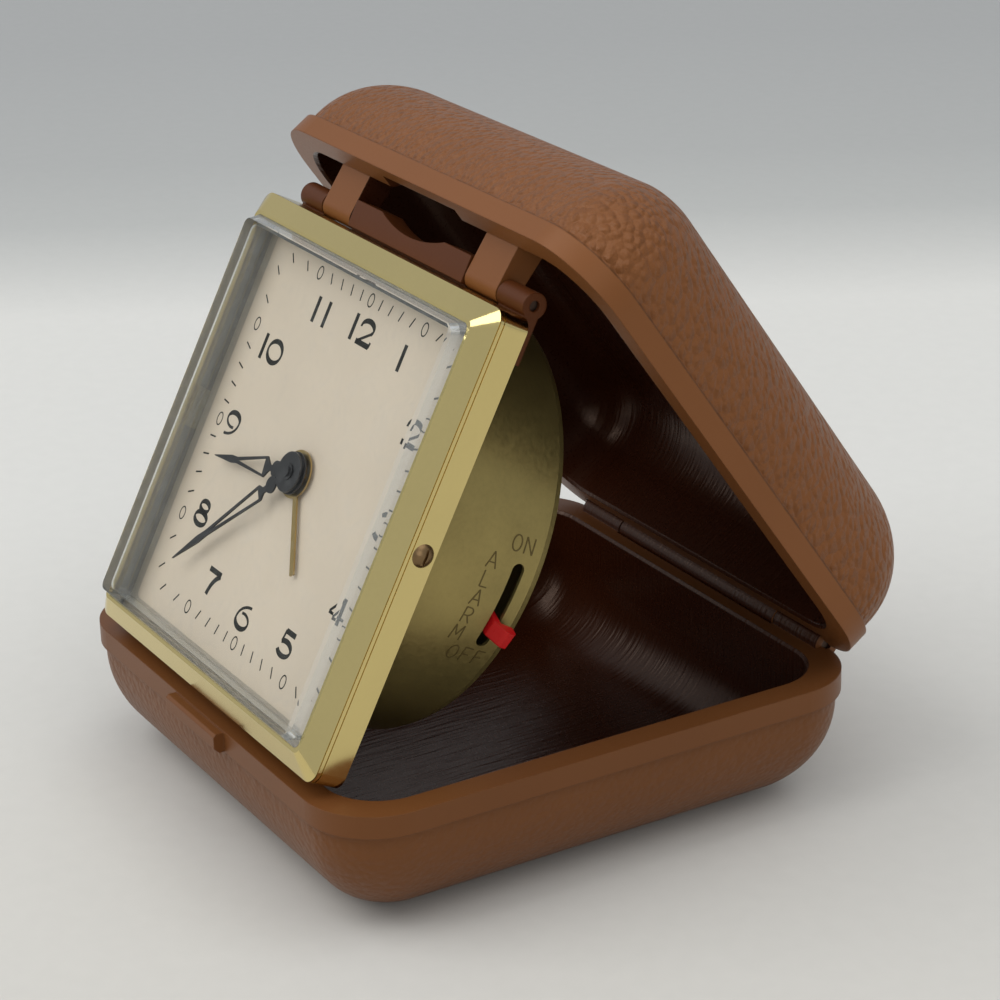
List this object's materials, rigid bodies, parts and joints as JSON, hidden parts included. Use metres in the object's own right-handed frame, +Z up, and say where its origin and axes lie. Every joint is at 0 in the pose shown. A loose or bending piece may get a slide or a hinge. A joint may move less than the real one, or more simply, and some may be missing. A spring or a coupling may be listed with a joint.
{
  "type": "folding travel alarm clock",
  "caption": "Folding travel alarm clock: square gilt bezel and brass drum hung between two rounded clam-shell halves that stand open as an A-frame.",
  "frame": {"origin": "centre of the flat underside of the base half of the case, on the table", "axes": "+Z up, +Y to the back, +X to the right seen from the front; the dial looks to -Y and up, and both case hinges run along X"},
  "size_m": [0.083, 0.0947, 0.0925],
  "materials": {
    "brown_case": "leather-grained moulding with smooth dark rim",
    "brown_bracket": "smooth moulding",
    "gold_bezel": "brushed gilt",
    "matte_gold": "matte gilt lacquer",
    "clear_crystal": "polished clear plastic",
    "cream_dial": "satin printed",
    "grey_card": "matte",
    "black_hands": "satin black",
    "brass": "satin",
    "brass_plate": "satin",
    "red_lever": "glossy",
    "steel": "bright",
    "spring_steel": "blued"
  },
  "bodies": {
    "base": {"base_shell": "brown_case", "rear_hinge_pin": "steel"},
    "lid": {"lid_shell": "brown_case"},
    "clock": {"clock_hinge_bracket": "brown_bracket", "clock_hinge_pin": "steel", "bracket_screws": "steel", "bezel": "gold_bezel", "bezel_screws": "gold_bezel", "crystal": "clear_crystal", "dial": "cream_dial", "dial_spacer": "grey_card", "drum_case": "matte_gold", "front_plate": "brass_plate", "back_plate": "brass_plate", "movement_pillars": "brass_plate", "plate_screws": "steel", "balance_cup_screws": "steel", "time_mainspring": "spring_steel", "alarm_mainspring": "spring_steel", "hairspring": "spring_steel"},
    "minute_group": {"centre_arbor": "steel", "cannon_pinion": "steel", "minute_hand": "black_hands", "time_set_knob": "brass"},
    "minute_wheel_group": {"minute_wheel": "brass"},
    "hour_group": {"hour_wheel": "brass", "hour_hand": "black_hands"},
    "alarm_hand_group": {"alarm_wheel": "brass", "alarm_hand": "brass"},
    "alarm_setting_group": {"alarm_setting_arbor": "steel", "alarm_set_knob": "brass"},
    "centre_group": {"centre_wheel": "brass"},
    "third_group": {"third_wheel": "brass"},
    "fourth_group": {"fourth_wheel": "brass"},
    "escape_group": {"escape_wheel": "brass"},
    "pallet_group": {"pallet_lever": "steel"},
    "balance_group": {"balance_wheel": "brass", "balance_staff": "steel"},
    "great_group": {"time_great_wheel": "brass"},
    "time_winding_group": {"time_winding_arbor": "steel", "time_winding_key": "brass"},
    "alarm_great_group": {"alarm_great_wheel": "brass"},
    "alarm_winding_group": {"alarm_winding_arbor": "steel", "alarm_winding_key": "brass"},
    "star_group": {"alarm_star_wheel": "brass"},
    "hammer_group": {"alarm_hammer": "steel"},
    "shutoff_group": {"alarm_shutoff_lever": "red_lever"},
    "regulator_group": {"regulator_lever": "steel"}
  },
  "joints": [
    {"name": "lid_hinge", "type": "hinge", "parent": "base", "child": "lid", "pos_m": [0, 0.042, 0.0191], "axis": [-1, 0, 0], "range_deg": [0, 65]},
    {"name": "clock_hinge", "type": "hinge", "parent": "lid", "child": "clock", "pos_m": [0, -0.00523, 0.07858], "axis": [1, 0, 0], "range_deg": [0, 62]},
    {"name": "hand_setting", "type": "hinge", "parent": "clock", "child": "minute_group", "pos_m": [0, -0.02217, 0.04862], "axis": [0, -0.887, 0.4617], "continuous": true},
    {"name": "minute_wheel_spin", "type": "hinge", "parent": "clock", "child": "minute_wheel_group", "pos_m": [-0.00564, -0.02312, 0.0468], "axis": [0, -0.887, 0.4617], "continuous": true},
    {"name": "hour_spin", "type": "hinge", "parent": "clock", "child": "hour_group", "pos_m": [0, -0.02217, 0.04862], "axis": [0, -0.887, 0.4617], "continuous": true},
    {"name": "alarm_hand_spin", "type": "hinge", "parent": "clock", "child": "alarm_hand_group", "pos_m": [0, -0.02217, 0.04862], "axis": [0, -0.887, 0.4617], "continuous": true},
    {"name": "alarm_setting", "type": "hinge", "parent": "clock", "child": "alarm_setting_group", "pos_m": [-0.00668, -0.01909, 0.05454], "axis": [0, -0.887, 0.4617], "continuous": true},
    {"name": "fourth_spin", "type": "hinge", "parent": "clock", "child": "fourth_group", "pos_m": [0.0097, -0.01876, 0.05518], "axis": [0, -0.887, 0.4617], "continuous": true},
    {"name": "escape_spin", "type": "hinge", "parent": "clock", "child": "escape_group", "pos_m": [0.00845, -0.01549, 0.06146], "axis": [0, -0.887, 0.4617], "continuous": true},
    {"name": "third_spin", "type": "hinge", "parent": "clock", "child": "third_group", "pos_m": [0.00233, -0.01816, 0.05633], "axis": [0, -0.887, 0.4617], "continuous": true},
    {"name": "centre_spin", "type": "hinge", "parent": "clock", "child": "centre_group", "pos_m": [0, -0.02217, 0.04862], "axis": [0, -0.887, 0.4617], "continuous": true},
    {"name": "great_spin", "type": "hinge", "parent": "clock", "child": "great_group", "pos_m": [-0.00917, -0.02514, 0.04292], "axis": [0, -0.887, 0.4617], "continuous": true},
    {"name": "balance_swing", "type": "hinge", "parent": "clock", "child": "balance_group", "pos_m": [-0.00288, -0.01476, 0.06286], "axis": [0, -0.887, 0.4617], "range_deg": [-18.3, 18.3], "stiffness_Nm_per_rad": 0.000002, "deforming": ["hairspring"]},
    {"name": "pallet_rock", "type": "hinge", "parent": "clock", "child": "pallet_group", "pos_m": [0.00412, -0.01476, 0.06286], "axis": [0, -0.887, 0.4617], "range_deg": [-6, 6]},
    {"name": "time_winding", "type": "hinge", "parent": "clock", "child": "time_winding_group", "pos_m": [-0.00917, -0.02514, 0.04292], "axis": [0, -0.887, 0.4617], "continuous": true, "deforming": ["time_mainspring"]},
    {"name": "alarm_winding", "type": "hinge", "parent": "clock", "child": "alarm_winding_group", "pos_m": [0.0095, -0.0261, 0.04108], "axis": [0, -0.887, 0.4617], "continuous": true, "deforming": ["alarm_mainspring"]},
    {"name": "alarm_great_spin", "type": "hinge", "parent": "clock", "child": "alarm_great_group", "pos_m": [0.0095, -0.0261, 0.04108], "axis": [0, -0.887, 0.4617], "continuous": true},
    {"name": "star_spin", "type": "hinge", "parent": "clock", "child": "star_group", "pos_m": [0.01608, -0.02306, 0.04691], "axis": [0, -0.887, 0.4617], "continuous": true},
    {"name": "hammer_rock", "type": "hinge", "parent": "clock", "child": "hammer_group", "pos_m": [0.01858, -0.02506, 0.04307], "axis": [0, -0.887, 0.4617], "range_deg": [-4, 4]},
    {"name": "alarm_shutoff", "type": "hinge", "parent": "clock", "child": "shutoff_group", "pos_m": [0.01785, -0.02323, 0.04659], "axis": [0, -0.887, 0.4617], "range_deg": [-4, 32]},
    {"name": "regulator_turn", "type": "hinge", "parent": "clock", "child": "regulator_group", "pos_m": [-0.00288, -0.01476, 0.06286], "axis": [0, -0.887, 0.4617], "range_deg": [-15, 15]}
  ],
  "couplings": [
    {"joint": "minute_wheel_spin", "follows": "hand_setting", "ratio": -0.33333},
    {"joint": "hour_spin", "follows": "hand_setting", "ratio": 0.083333},
    {"joint": "alarm_setting", "follows": "alarm_hand_spin", "ratio": -6},
    {"joint": "escape_spin", "follows": "fourth_spin", "ratio": -8},
    {"joint": "third_spin", "follows": "fourth_spin", "ratio": -0.13333},
    {"joint": "centre_spin", "follows": "fourth_spin", "ratio": 0.016667},
    {"joint": "great_spin", "follows": "fourth_spin", "ratio": -0.0027778},
    {"joint": "pallet_rock", "follows": "balance_swing", "ratio": -0.27273},
    {"joint": "star_spin", "follows": "alarm_great_spin", "ratio": -6.75}
  ]
}
